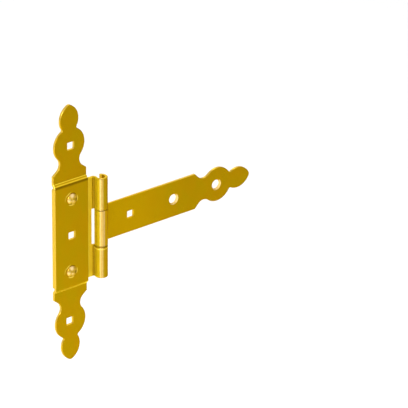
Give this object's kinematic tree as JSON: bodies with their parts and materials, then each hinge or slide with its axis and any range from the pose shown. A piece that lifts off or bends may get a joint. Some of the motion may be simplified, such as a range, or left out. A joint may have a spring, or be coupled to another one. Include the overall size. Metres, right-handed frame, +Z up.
{
  "type": "decorative gate hinge",
  "caption": "Ornamental T-hinge for a gate: a plate with finial ends riveted over a rolled leaf, and a finial-ended strap that swings on a captive pin.",
  "frame": {"origin": "centre of the plate's middle square bolt hole, on the face that lies against the post", "axes": "+X from the plate along the opened strap, +Y back into the post, +Z up along the pin"},
  "size_m": [0.2253, 0.0122, 0.2502],
  "materials": {
    "zinc_sheet": "yellow passivated zinc on pressed sheet, satin",
    "zinc_pin": "yellow passivated zinc on drawn wire, satin",
    "zinc_rivet": "yellow passivated zinc, hammered and polished by the rivet set"
  },
  "bodies": {
    "post_side": {"mounting_plate": "zinc_sheet", "hinge_leaf": "zinc_sheet", "rivets": "zinc_rivet", "hinge_pin": "zinc_pin"},
    "gate_side": {"strap_leaf": "zinc_sheet"}
  },
  "joints": [
    {"name": "strap_swing", "type": "hinge", "parent": "post_side", "child": "gate_side", "pos_m": [0.0317, -0.00608, 0], "axis": [0, 0, -1], "range_deg": [-95, 180]}
  ]
}
